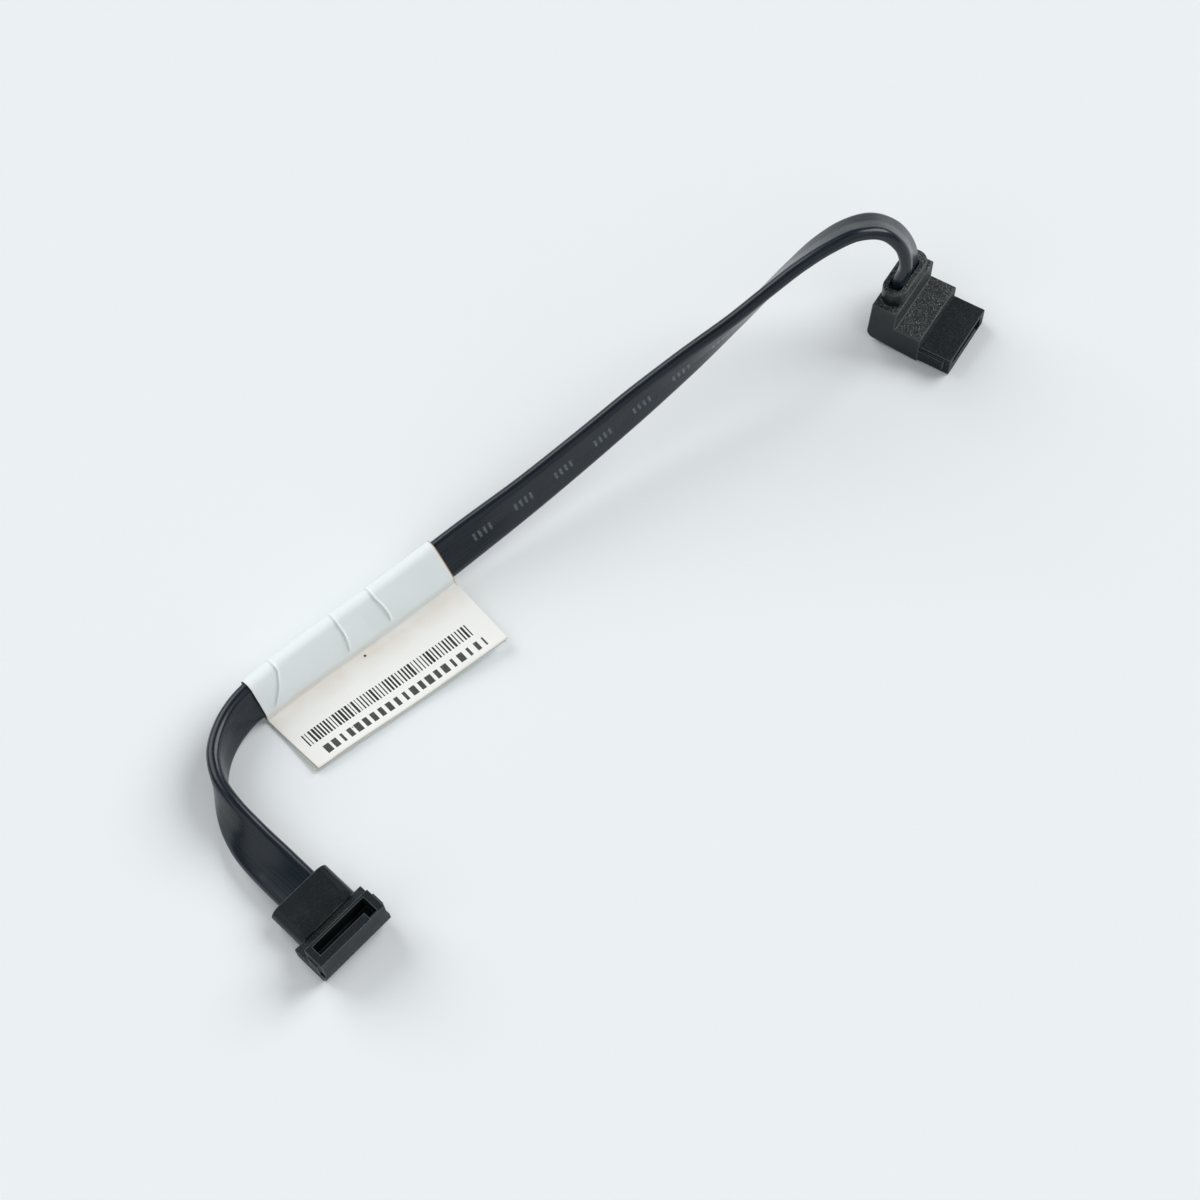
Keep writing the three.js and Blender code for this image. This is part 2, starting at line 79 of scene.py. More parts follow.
# The middle of the section in metres, and the turn in degrees about its own length
ribbon_route = [
    (-0.0744, 0.0151, 0.0029, 0),
    (-0.0735, 0.0189, 0.0031, -2),
    (-0.0722, 0.0248, 0.0034, -13),
    (-0.0706, 0.0310, 0.0037, -33),
    (-0.0683, 0.0364, 0.0040, -60),
    (-0.0654, 0.0405, 0.0040, -82),
    (-0.0616, 0.0436, 0.0040, -95),
    (-0.0569, 0.0452, 0.0040, -102),
    (-0.0518, 0.0453, 0.0042, -109),
    (-0.0460, 0.0439, 0.0043, -115),
    (-0.0381, 0.0416, 0.0043, -119),
    (-0.0284, 0.0385, 0.0043, -122),
    (-0.0171, 0.0347, 0.0049, -123),
    (-0.0059, 0.0309, 0.0061, -119),
    (0.0052, 0.0269, 0.0077, -110),
    (0.0163, 0.0230, 0.0099, -105),
    (0.0273, 0.0191, 0.0126, -100),
    (0.0381, 0.0150, 0.0157, -87),
    (0.0470, 0.0115, 0.0186, -70),
    (0.0541, 0.0089, 0.0211, -60),
    (0.0604, 0.0065, 0.0234, -50),
    (0.0657, 0.0041, 0.0251, -39),
    (0.0703, 0.0013, 0.0260, -31),
    (0.0739, -0.0019, 0.0252, -19),
    (0.0760, -0.0051, 0.0222, -4),
    (0.0767, -0.0071, 0.0178, 13),
    (0.0767, -0.0073, 0.0133, 34),
    (0.0767, -0.0073, 0.0096, 36),
]

# How the low plug lies on its back sets the way the ribbon's width points where it starts
low_yaw = -12.5
low_pitch = 1.9
low_roll = -5.6
low_turn = (
    Matrix.Rotation(radians(low_yaw), 3, "Z")
    @ Matrix.Rotation(radians(low_pitch - 90), 3, "X")
    @ Matrix.Rotation(radians(low_roll), 3, "Z")
)


def smooth_line(rows, count):
    """Points along a smooth curve through the rows, which doesn't overshoot where they lie close"""
    rows = np.asarray(rows, float)
    first = 2 * rows[0] - rows[1]
    last = 2 * rows[-1] - rows[-2]
    held = np.vstack([first, rows, last])
    points = []
    for where in np.linspace(0, len(rows) - 1, count):
        k = min(int(where), len(rows) - 2)
        w = where - k
        p0, p1, p2, p3 = held[k:k + 4]
        d0, d1, d2 = (np.linalg.norm(b - a) ** 0.5 for a, b in ((p0, p1), (p1, p2), (p2, p3)))
        d1 = d1 if d1 > least_step else 1.0
        d0 = d0 if d0 > least_step else d1
        d2 = d2 if d2 > least_step else d1
        leave = ((p1 - p0) / d0 - (p2 - p0) / (d0 + d1) + (p2 - p1) / d1) * d1
        arrive = ((p2 - p1) / d1 - (p3 - p1) / (d1 + d2) + (p3 - p2) / d2) * d1
        cubic = -3 * p1 + 3 * p2 - 2 * leave - arrive
        points.append(p1 + leave * w + cubic * w**2 + (2 * p1 - 2 * p2 + leave + arrive) * w**3)
    return np.array(points)


def unit(vectors):
    return vectors / np.linalg.norm(vectors, axis=-1, keepdims=True)


route_line = smooth_line([row[:3] for row in ribbon_route], route_samples)
route_turn = smooth_line([[row[3]] for row in ribbon_route], route_samples)[:, 0]
route_reach = np.r_[0, np.cumsum(np.linalg.norm(np.diff(route_line, axis=0), axis=1))]
ribbon_length = route_reach[-1]
route_way = unit(np.gradient(route_line, route_reach, axis=0))
route_width = [np.array(low_turn @ Vector((-1, 0, 0)))]
for way in route_way:
    carried = route_width[-1] - way * route_width[-1].dot(way)
    route_width.append(unit(carried))
route_width = np.array(route_width[1:])


def ribbon_at(reach):
    """The ribbon's middle, direction, width direction and face direction at distances along it"""
    def along(values):
        return np.stack([np.interp(reach, route_reach, values[:, i]) for i in range(3)], axis=-1)

    middle = along(route_line)
    way = unit(along(route_way))
    flat = along(route_width)
    flat = unit(flat - way * (flat * way).sum(-1, keepdims=True))
    turn = np.radians(np.interp(reach, route_reach, route_turn))[..., None]
    width = np.cos(turn) * flat + np.sin(turn) * np.cross(way, flat)
    return middle, way, width, np.cross(way, width)


def ribbon_section():
    """The sheath's outline: two faces a hair hollow between the pairs, and full-round edges"""
    radius = ribbon_thickness / 2
    flat = ribbon_width / 2 - radius
    outline = []
    for side in (1, -1):
        for i in range(ribbon_edge_sides + 1):
            angle = pi * (i / ribbon_edge_sides - 0.5)
            outline.append((side * (flat + radius * cos(angle)), side * radius * sin(angle)))
        for i in range(1, ribbon_face_sides):
            share = i / ribbon_face_sides
            ripple = 1 - ribbon_pair_rise * sin(2 * pi * share) ** 2
            sag = ribbon_face_hollow * sin(pi * share) ** 2 * ripple
            outline.append((side * flat * (1 - 2 * share), side * (radius - sag)))
    return np.array(outline)


def loft(name, rings):
    """A closed mesh through rings of points, with the distances along and round it as UVs in mm"""
    rings = np.asarray(rings)
    count, sides = rings.shape[:2]
    step = np.linalg.norm(np.diff(rings.mean(axis=1), axis=0), axis=1)
    reach = np.r_[0, np.cumsum(step)] / mm
    ring_step = np.linalg.norm(rings[0] - np.roll(rings[0], -1, axis=0), axis=1)
    around = np.r_[0, np.cumsum(ring_step)] / mm
    faces = []
    places = []
    for i in range(count - 1):
        for j in range(sides):
            k = (j + 1) % sides
            faces.append((i * sides + j, i * sides + k, (i + 1) * sides + k, (i + 1) * sides + j))
            places += [
                (reach[i], around[j]), (reach[i], around[j + 1]),
                (reach[i + 1], around[j + 1]), (reach[i + 1], around[j]),
            ]
    for end, ring in ((0, range(sides - 1, -1, -1)), (count - 1, range(sides))):
        faces.append([end * sides + j for j in ring])
        places += [(reach[end], around[j]) for j in ring]
    mesh = bpy.data.meshes.new(name)
    mesh.from_pydata(rings.reshape(-1, 3).tolist(), [], faces)
    layer = mesh.uv_layers.new(name="surface_mm")
    layer.uv.foreach_set("vector", np.array(places, np.float32).ravel())
    for face in mesh.polygons:
        face.use_smooth = len(face.vertices) == 4
    piece = bpy.data.objects.new(name, mesh)
    scene.collection.objects.link(piece)
    return piece


ring_reach = np.linspace(0, ribbon_length, ribbon_rings)
middle, way, width, face_way = ribbon_at(ring_reach)
section = ribbon_section()
across_width = section[None, :, :1] * width[:, None]
ribbon_points = middle[:, None] + across_width + section[None, :, 1:] * face_way[:, None]
ribbon = loft("ribbon_sheath", ribbon_points)


def linear(colour):
    """An sRGB hex colour as the linear numbers that a shader takes"""
    parts = [int(colour[i:i + 2], 16) / 255 for i in (1, 3, 5)]
    return (*[c / 12.92 if c <= 0.04045 else ((c + 0.055) / 1.055) ** 2.4 for c in parts], 1)


def add(tree, kind, inputs=None, **settings):
    """One node with its settings and links; gives back its first live output"""
    made = tree.nodes.new(kind)
    for name, value in settings.items():
        setattr(made, name, value)
    for key, value in (inputs or {}).items():
        if isinstance(value, bpy.types.NodeSocket):
            tree.links.new(value, made.inputs[key])
        else:
            made.inputs[key].default_value = linear(value) if isinstance(value, str) else value
    return next(output for output in made.outputs if output.enabled)


def new_material(name):
    """A material with its node tree and its shader"""
    material = bpy.data.materials.new(name)
    material.use_nodes = True
    return material, material.node_tree, material.node_tree.nodes["Principled BSDF"]


# Extruded soft PVC: a near-black sheath with a low oily shine, faint lines from the die along its
# length, a fine orange peel across it, and pale dust that has settled into it
pvc, tree, sheath = new_material("extruded_soft_pvc")
place = add(tree, "ShaderNodeUVMap", uv_map="surface_mm")
along = add(tree, "ShaderNodeSeparateXYZ", {0: place})
across = along.node.outputs["Y"]
solid_place = add(tree, "ShaderNodeTexCoord").node.outputs["Object"]

die_stretch = add(tree, "ShaderNodeVectorMath", {0: place, 1: (0.02, 1.0, 1.0)}, operation="MULTIPLY")
die_lines = add(tree, "ShaderNodeTexNoise", {"Vector": die_stretch, "Scale": 2.6, "Detail": 3.0})
peel = add(tree, "ShaderNodeTexNoise", {"Vector": place, "Scale": 3.3, "Detail": 4.0, "Roughness": 0.6})
swell = add(tree, "ShaderNodeTexNoise", {"Vector": solid_place, "Scale": 1 / (9 * mm), "Detail": 1.0})
dust = add(tree, "ShaderNodeTexVoronoi", {"Vector": place, "Scale": 1.1})
dust_here = add(tree, "ShaderNodeMapRange", {0: dust, 1: 0.04, 2: 0.08, 3: 1.0, 4: 0.0})
dust_draw = add(
    tree, "ShaderNodeMath", {0: dust.node.outputs["Color"], 1: 0.8}, operation="GREATER_THAN"
)
dust_mask = add(tree, "ShaderNodeMath", {0: dust_here, 1: dust_draw}, operation="MULTIPLY")

# The print on the real sheath is left out, and groups of short pale dashes stand in its place. These
# sizes are in mm, along the ribbon from the low plug and round its section
print_span = (90, 152)
print_middle = 15.1
print_half_height = 0.72
dash_length = 0.5
dash_pitch = 1.1
group_length = 4.4
group_pitch = 8.8

dash_place = add(tree, "ShaderNodeMath", {0: along, 1: dash_pitch, 2: 0.0}, operation="WRAP")
group_place = add(tree, "ShaderNodeMath", {0: along, 1: group_pitch, 2: 0.0}, operation="WRAP")
print_mask = add(tree, "ShaderNodeMapRange", {0: peel, 1: 0.35, 2: 0.6, 3: 0.15, 4: 0.75})
for value, centre, half in (
    (dash_place, dash_pitch / 2, dash_length / 2),
    (group_place, group_pitch / 2, group_length / 2),
    (across, print_middle, print_half_height),
    (along, sum(print_span) / 2, (print_span[1] - print_span[0]) / 2),
):
    inside = {0: value, 1: centre, 2: half}
    within = add(tree, "ShaderNodeMath", inside, operation="COMPARE")
    print_mask = add(tree, "ShaderNodeMath", {0: print_mask, 1: within}, operation="MULTIPLY")

clean_sheath = add(tree, "ShaderNodeMix", {0: swell, 6: "#0d161c", 7: "#17242e"}, data_type="RGBA")
dusty_sheath = add(tree, "ShaderNodeMix", {0: dust_mask, 6: clean_sheath, 7: "#5f676c"}, data_type="RGBA")
printed_sheath = add(
    tree, "ShaderNodeMix", {0: print_mask, 6: dusty_sheath, 7: "#6f7d86"}, data_type="RGBA"
)
tree.links.new(printed_sheath, sheath.inputs["Base Color"])
sheath_gloss = add(tree, "ShaderNodeMapRange", {0: die_lines, 1: 0.3, 2: 0.7, 3: 0.2, 4: 0.32})
tree.links.new(sheath_gloss, sheath.inputs["Roughness"])
sheath.inputs["IOR"].default_value = 1.53
sheath.inputs["Specular IOR Level"].default_value = 0.4
swell_bump = add(tree, "ShaderNodeBump", {"Height": swell, "Distance": 0.2 * mm})
die_bump = add(
    tree, "ShaderNodeBump", {"Height": die_lines, "Distance": 0.008 * mm, "Normal": swell_bump}
)
peel_bump = add(tree, "ShaderNodeBump", {"Height": peel, "Distance": 0.005 * mm, "Normal": die_bump})
tree.links.new(peel_bump, sheath.inputs["Normal"])
ribbon.data.materials.append(pvc)

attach(ribbon, "root")
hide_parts("ribbon_cable")

# Label
# A strip of coated white paper, 39.5 mm wide. It goes once round the ribbon, face outward, and its
# two ends are stuck together as a flag that lies low over the table. The wrapped part kept three
# creases from being pressed on, and the back layer slipped a little to one side.

label_start = 44.4 * mm
label_length = 39.5 * mm
label_sheet = 0.12 * mm
label_clearance = 0.3 * mm
label_rings = 300
flag_width = 15.1 * mm
flag_taper = 0.11
flag_curl = 0.4 * mm
flag_wave = 0.12 * mm
flag_wave_length = 27 * mm
flag_fold_radius = 0.45 * mm
top_layer_short = 0.14 * mm
layer_rise = 0.55 * label_sheet
layer_slip = 0.5 * mm
lower_layer_start = 1.2 * mm
upper_columns = 32
front_columns = 26
lower_columns = 34

# The flag's top layer lifts at its left outer corner, over the first third of its length
flag_lift = 0.2 * mm
flag_lift_fade = 3

# Where each crease starts at the upper edge and ends at the fold, from the label's left end. It is
# a little bowed, and runs out just above the fold
crease_lines = [(5.4 * mm, 2.1 * mm), (18.1 * mm, 17.8 * mm), (25.9 * mm, 26.6 * mm)]
crease_height = 0.32 * mm
crease_half_width = 0.16 * mm
crease_bow = 0.3 * mm
crease_end_power = 12

# The paper stands off the ribbon at each crease, and is pressed closer to it between two creases
bulge_places = np.array([0, 4.4, 11, 18.4, 22.5, 26.7, 33, 39.5]) * mm
bulge_heights = np.array([0.02, 0.16, 0.03, 0.2, 0.06, 0.2, 0.05, 0.08]) * mm

wrap_radius = ribbon_thickness / 2 + label_clearance + label_sheet / 2
wrap_half = (ribbon_width - ribbon_thickness) / 2


def arc(centre, radius, start, end, count):
    """Points on an arc in the section, its angles in radians"""
    angles = np.linspace(start, end, count)
    return np.array(centre) + radius * np.stack([np.cos(angles), np.sin(angles)], axis=1)


def label_section(lean, place):
    """The paper's middle line at one place, from the flag's outer edge: x level outward and y up"""
    share = place / label_length
    out = np.array([lean[1], -lean[0]])
    angle = np.arctan2(out[1], out[0])
    top = wrap_half * lean
    foot = -wrap_half * lean
    flag = flag_width * (1 + flag_taper * (share - 0.5))
    level = foot[1] - wrap_radius

    def layer(x, side):
        wave = flag_curl + flag_wave * np.sin(2 * pi * place / flag_wave_length)
        height = level + side * layer_rise + wave * (x / flag) ** 2
        if side > 0:
            height += flag_lift * max(0, 1 - flag_lift_fade * share) * (x / flag) ** 3
        return np.stack([foot[0] + x, height], axis=1)

    def ridge(line):
        return crease_height * np.exp(-(((place - line) / crease_half_width) ** 2))

    fold = wrap_radius + flag_fold_radius
    upper = layer(np.linspace(flag - top_layer_short, fold, upper_columns), 1)
    fillet_centre = upper[-1] + np.array([0, flag_fold_radius])
    fillet = arc(fillet_centre, flag_fold_radius, -pi / 2, -pi, 7)[1:]
    toe = arc(foot, wrap_radius, 0, angle, 8)
    front = np.linspace(toe[-1], top + wrap_radius * out, front_columns)[1:-1]
    down = np.linspace(1, 0, len(front) + 2)[1:-1]
    bow = np.sin(pi * down)
    push = np.interp(place, bulge_places, bulge_heights) * bow
    for start, end in crease_lines:
        push += ridge(start + (end - start) * down + crease_bow * bow) * (1 - down**crease_end_power)
    front = front + push[:, None] * out
    crown = arc(top, wrap_radius, angle, angle + pi, 16)
    fade = np.cos(np.linspace(0, pi / 2, len(crown))) ** 2
    crown_push = sum(ridge(start) for start, end in crease_lines) * fade
    crown = crown + crown_push[:, None] * unit(crown - top)
    back = np.linspace(crown[-1], foot - wrap_radius * out, 12)[1:-1]
    heel = arc(foot, wrap_radius, angle + pi, 1.5 * pi, 12)
    lower = layer(np.linspace(lower_layer_start, flag, lower_columns), -1)
    return np.vstack([upper, fillet, toe, front, crown, back, heel, lower])


def sheet_piece(name, middle_points, thickness, along, across):
    """A sheet of even thickness round a grid of points, with UVs in mm. Its face, its back and its
    edges take three materials"""
    rows, columns = middle_points.shape[:2]
    up = np.cross(np.gradient(middle_points, axis=0), np.gradient(middle_points, axis=1))
    up = unit(up) * thickness / 2
    vertices = np.concatenate([middle_points + up, middle_points - up]).reshape(-1, 3)
    under = rows * columns
    quads = []
    for i in range(rows - 1):
        for j in range(columns - 1):
            a, b = i * columns + j, (i + 1) * columns + j
            quads.append(((a, b, b + 1, a + 1), 0))
            quads.append(((under + a, under + a + 1, under + b + 1, under + b), 1))
    for i in range(rows - 1):
        for j, turned in ((0, False), (columns - 1, True)):
            a, b = i * columns + j, (i + 1) * columns + j
            rim = (a, under + a, under + b, b)
            quads.append((rim[::-1] if turned else rim, 2))
    for j in range(columns - 1):
        for i, turned in ((0, True), (rows - 1, False)):
            a = i * columns + j
            rim = (a, under + a, under + a + 1, a + 1)
            quads.append((rim[::-1] if turned else rim, 2))
    mesh = bpy.data.meshes.new(name)
    mesh.from_pydata(vertices.tolist(), [], [quad for quad, part in quads])
    places = np.tile(np.stack([along, across], axis=-1).reshape(-1, 2) / mm, (2, 1))
    corners = [corner for quad, part in quads for corner in quad]
    layer = mesh.uv_layers.new(name="surface_mm")
    layer.uv.foreach_set("vector", places[corners].astype(np.float32).ravel())
    mesh.polygons.foreach_set("material_index", [part for quad, part in quads])
    mesh.polygons.foreach_set("use_smooth", [part < 2 for quad, part in quads])
    piece = bpy.data.objects.new(name, mesh)
    scene.collection.objects.link(piece)
    return piece


label_places = np.linspace(0, label_length, label_rings)
middle, way, width, face_way = ribbon_at(label_start + label_places)
level_out = unit(np.cross(way, (0, 0, 1)))
level_up = np.cross(level_out, way)
label_points = []
for i, reach in enumerate(label_places):
    lean = -np.array([width[i].dot(level_out[i]), width[i].dot(level_up[i])])
    line = label_section(unit(lean), reach)
    label_points.append(middle[i] + line[:, :1] * level_out[i] + line[:, 1:] * level_up[i])
label_points = np.array(label_points)
slip = np.zeros(label_points.shape[1])
slip[-lower_columns:] = np.linspace(0, layer_slip, lower_columns)
label_points -= slip[None, :, None] * way[:, None]
step = np.linalg.norm(np.diff(label_points, axis=1), axis=2)
from_edge = np.concatenate([np.zeros((label_rings, 1)), np.cumsum(step, axis=1)], axis=1)
along_label = np.repeat(label_places[:, None], label_points.shape[1], axis=1)
label = sheet_piece("wrapped_paper_label", label_points, label_sheet, along_label, from_edge)

# Coated label paper: bright satin white, a little cloudy from its fibres, yellowed beside the fold
# where it has been handled. The real print is left out: plain bars and blocks stand in its place.
# Their sizes are in mm, in from the flag's outer edge and along from the label's left end
bar_rows = (4.2, 6.8)
bar_span = (2.2, 35.6)
bar_pitch = 0.64
bar_halves = (0.07, 0.25)
block_rows = (1.2, 2.95)
block_span = (3.2, 36.4)
block_pitch = 1.62
block_halves = (0.25, 0.62)

paper, tree, coat = new_material("coated_label_paper")
place = add(tree, "ShaderNodeUVMap", uv_map="surface_mm")
along = add(tree, "ShaderNodeSeparateXYZ", {0: place})
from_edge = along.node.outputs["Y"]
fibres = add(tree, "ShaderNodeTexNoise", {"Vector": place, "Scale": 2.2, "Detail": 5.0, "Roughness": 0.65})
clouds = add(tree, "ShaderNodeTexNoise", {"Vector": place, "Scale": 0.16, "Detail": 2.0})

# A row of bars and a row of small blocks, each kind at one pitch and uneven in width
print_rows = []
for pitch, halves, rows, span in (
    (bar_pitch, bar_halves, bar_rows, bar_span),
    (block_pitch, block_halves, block_rows, block_span),
):
    mark_count = add(tree, "ShaderNodeMath", {0: along, 1: pitch}, operation="DIVIDE")
    mark_index = add(tree, "ShaderNodeMath", {0: mark_count}, operation="FLOOR")
    mark_draw = add(tree, "ShaderNodeTexWhiteNoise", {"W": mark_index}, noise_dimensions="1D")
    half_range = {0: mark_draw, 1: 0.0, 2: 1.0, 3: halves[0], 4: halves[1]}
    mark_half = add(tree, "ShaderNodeMapRange", half_range)
    mark_place = add(tree, "ShaderNodeMath", {0: along, 1: pitch, 2: 0.0}, operation="WRAP")
    marks = add(tree, "ShaderNodeMath", {0: mark_place, 1: pitch / 2, 2: mark_half}, operation="COMPARE")
    for value, (low, high) in ((from_edge, rows), (along, span)):
        inside = {0: value, 1: (low + high) / 2, 2: (high - low) / 2}
        within = add(tree, "ShaderNodeMath", inside, operation="COMPARE")
        marks = add(tree, "ShaderNodeMath", {0: marks, 1: within}, operation="MULTIPLY")
    print_rows.append(marks)
bars, blocks = print_rows
pale_blocks = add(tree, "ShaderNodeMath", {0: blocks, 1: 0.95}, operation="MULTIPLY")
printed = add(tree, "ShaderNodeMath", {0: bars, 1: pale_blocks}, operation="MAXIMUM")
ink_cover = add(tree, "ShaderNodeMapRange", {0: fibres, 1: 0.3, 2: 0.5, 3: 0.92, 4: 1.0})
ink_mask = add(tree, "ShaderNodeMath", {0: printed, 1: ink_cover}, operation="MULTIPLY")

# The stain lies along the flag just before the fold, which is 13 mm in from the outer edge, and the
# dark mark is in it. At the label's right end a tan line of glue shows on the wrapped part
stain_middle = 12.4
stain_reach = 3.4
dark_mark = (19.8, 12.5, 0.0)
tan_line = (39.26, 39.4)
wrap_start = (13.2, 14.4)
to_stain = add(tree, "ShaderNodeMath", {0: from_edge, 1: stain_middle}, operation="SUBTRACT")
stain_far = add(tree, "ShaderNodeMath", {0: to_stain}, operation="ABSOLUTE")
stain_near = add(tree, "ShaderNodeMapRange", {0: stain_far, 1: 0.0, 2: stain_reach, 3: 1.0, 4: 0.0})
stain_worn = add(tree, "ShaderNodeMapRange", {0: clouds, 1: 0.35, 2: 0.65, 3: 0.15, 4: 0.8})
stain = add(tree, "ShaderNodeMath", {0: stain_near, 1: stain_worn}, operation="MULTIPLY")
specks = add(tree, "ShaderNodeTexVoronoi", {"Vector": place, "Scale": 0.3})
speck_here = add(tree, "ShaderNodeMapRange", {0: specks, 1: 0.03, 2: 0.06, 3: 1.0, 4: 0.0})
speck_draw = add(
    tree, "ShaderNodeMath", {0: specks.node.outputs["Color"], 1: 0.8}, operation="GREATER_THAN"
)
small_specks = add(tree, "ShaderNodeMath", {0: speck_here, 1: speck_draw}, operation="MULTIPLY")
to_mark = add(tree, "ShaderNodeVectorMath", {0: place, 1: dark_mark}, operation="DISTANCE")
dark_spot = add(tree, "ShaderNodeMapRange", {0: to_mark, 1: 0.2, 2: 0.28, 3: 1.0, 4: 0.0})
speck_mask = add(tree, "ShaderNodeMath", {0: small_specks, 1: dark_spot}, operation="MAXIMUM")
# Past the fold the wrapped part is painted a bluish white, painted cool light, while the flag stays warm
# white
wrap_range = {0: from_edge, 1: wrap_start[0], 2: wrap_start[1], 3: 0.0, 4: 1.0}
on_wrap = add(tree, "ShaderNodeMapRange", wrap_range)
flag_paper = add(tree, "ShaderNodeMix", {0: clouds, 6: "#f6f6f2", 7: "#faf9f5"}, data_type="RGBA")
paper_with_painted_cool_light = add(tree, "ShaderNodeMix", {0: on_wrap, 6: flag_paper, 7: "#f3f9f9"}, data_type="RGBA")
stained_paper = add(tree, "ShaderNodeMix", {0: stain, 6: paper_with_painted_cool_light, 7: "#ebe3d5"}, data_type="RGBA")
speckled_paper = add(
    tree, "ShaderNodeMix", {0: speck_mask, 6: stained_paper, 7: "#4a3c30"}, data_type="RGBA"
)
at_end = add(tree, "ShaderNodeMapRange", {0: along, 1: tan_line[0], 2: tan_line[1], 3: 0.0, 4: 0.85})
wrap_end = add(tree, "ShaderNodeMath", {0: at_end, 1: on_wrap}, operation="MULTIPLY")
glue_lined = add(tree, "ShaderNodeMix", {0: wrap_end, 6: speckled_paper, 7: "#b98650"}, data_type="RGBA")
inked_paper = add(tree, "ShaderNodeMix", {0: ink_mask, 6: glue_lined, 7: "#101214"}, data_type="RGBA")
tree.links.new(inked_paper, coat.inputs["Base Color"])
coat_gloss = add(tree, "ShaderNodeMapRange", {0: fibres, 1: 0.3, 2: 0.7, 3: 0.42, 4: 0.56})
tree.links.new(coat_gloss, coat.inputs["Roughness"])
coat.inputs["IOR"].default_value = 1.47
cloud_bump = add(tree, "ShaderNodeBump", {"Height": clouds, "Distance": 0.12 * mm})
fibre_bump = add(
    tree, "ShaderNodeBump", {"Height": fibres, "Distance": 0.006 * mm, "Normal": cloud_bump}
)
tree.links.new(fibre_bump, coat.inputs["Normal"])

# The glued side of the paper, a duller grey white, seen only at the label's open ends
glued, tree, back_face = new_material("glued_paper_back")
place = add(tree, "ShaderNodeUVMap", uv_map="surface_mm")
smears = add(tree, "ShaderNodeTexNoise", {"Vector": place, "Scale": 0.8, "Detail": 3.0})
glue_colour = add(tree, "ShaderNodeMix", {0: smears, 6: "#c4c1b8", 7: "#d5d2c9"}, data_type="RGBA")
tree.links.new(glue_colour, back_face.inputs["Base Color"])
glue_gloss = add(tree, "ShaderNodeMapRange", {0: smears, 1: 0.3, 2: 0.7, 3: 0.5, 4: 0.7})
tree.links.new(glue_gloss, back_face.inputs["Roughness"])

# The cut edge of the paper, tan where glue and dirt have caught on it
cut_edge, tree, edge_face = new_material("cut_paper_edge")
place = add(tree, "ShaderNodeUVMap", uv_map="surface_mm")
along = add(tree, "ShaderNodeSeparateXYZ", {0: place})
grime = add(tree, "ShaderNodeTexNoise", {"Vector": place, "Scale": 0.9, "Detail": 4.0})
grime_share = add(tree, "ShaderNodeMapRange", {0: grime, 1: 0.42, 2: 0.6, 3: 0.0, 4: 0.15})
right_end = add(tree, "ShaderNodeMath", {0: along, 1: 39.0}, operation="GREATER_THAN")
edge_dirt = add(tree, "ShaderNodeMath", {0: grime_share, 1: right_end}, operation="MAXIMUM")
edge_colour = add(tree, "ShaderNodeMix", {0: edge_dirt, 6: "#ecebe6", 7: "#b07c40"}, data_type="RGBA")
tree.links.new(edge_colour, edge_face.inputs["Base Color"])
edge_face.inputs["Roughness"].default_value = 0.8
for finish in (paper, glued, cut_edge):
    label.data.materials.append(finish)

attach(label, "root")
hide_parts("label")

# Upright plug body
# Soft black PVC moulded over the plug's rear in one shot, in a spark-eroded tool: a low block
# behind the nose, a taller block with a rounded heel, and an oval gland that the ribbon goes into.

fit_gap = 0.3 * mm
upright_place = Matrix.Translation((0.0767, -0.02105, 0))
upright_nose_length = 6.2 * mm
upright_width = 14.2 * mm
upright_block_length = 5.1 * mm
upright_block_height = 5.9 * mm
upright_rear_length = 5.2 * mm
upright_rear_height = 9.95 * mm
upright_rear_lean = 0.3 * mm
upright_heel_radius = 1.5 * mm
upright_heel_rise = 0.7 * mm
upright_gland_size = (11.6 * mm, 4.6 * mm)
upright_gland_height = 3.05 * mm
upright_gland_setback = 2.6 * mm
upright_seat_depth = 3.7 * mm
upright_mouth_spread = 0.9 * mm
upright_mouth_depth = 0.7 * mm
upright_mouth_shift = 0.45 * mm
upright_mouth_slope = 0.1
upright_edge_radius = 0.2 * mm
insert_width = 11.6 * mm
insert_span = (0.9 * mm, 3.3 * mm)
upright_insert_length = 2.4 * mm
riser_width = 10.22 * mm
riser_thickness = 1.5 * mm
upright_duct_floor = 1.5 * mm

# The body was moulded round the ribbon, so its pocket is only a hair wider than the ribbon
hug = 0.06 * mm
hug_size = (ribbon_width + 2 * hug, ribbon_thickness + 2 * hug)

# A cutting tool runs this far past the face that it opens. Edges over the first angle get a radius,
# and those over the second stay sharp in the shading
overrun = 1 * mm
rounded_above = radians(32)
sharp_above = radians(35)

upright_rear_front = upright_nose_length + upright_block_length
upright_rear = upright_rear_front + upright_rear_length
upright_gland_y = upright_rear - upright_gland_setback - upright_rear_lean / 2
upright_gland_top = upright_rear_height + upright_gland_height
upright_seat_floor = upright_gland_top - upright_seat_depth


def solid(name, rings):
    """A closed solid through rings of points, with a flat face at each end"""
    body = bmesh.new()
    made = [[body.verts.new(point) for point in ring] for ring in rings]
    for low, high in zip(made, made[1:]):
        for i in range(len(low)):
            k = (i + 1) % len(low)
            body.faces.new((low[i], low[k], high[k], high[i]))
    body.faces.new(made[0][::-1])
    body.faces.new(made[-1])
    bmesh.ops.recalc_face_normals(body, faces=body.faces)
    mesh = bpy.data.meshes.new(name)
    body.to_mesh(mesh)
    body.free()
    piece = bpy.data.objects.new(name, mesh)
    scene.collection.objects.link(piece)
    return piece


def drawn_across(name, outline, across):
    """An outline in (y, z) drawn straight from one x to another"""
    return solid(name, [[(x, y, z) for y, z in outline] for x in across])


def block(name, across, back, up):
    """A rectangular solid between two values of x, y and z"""
    outline = [(back[0], up[0]), (back[1], up[0]), (back[1], up[1]), (back[0], up[1])]
    return drawn_across(name, outline, across)


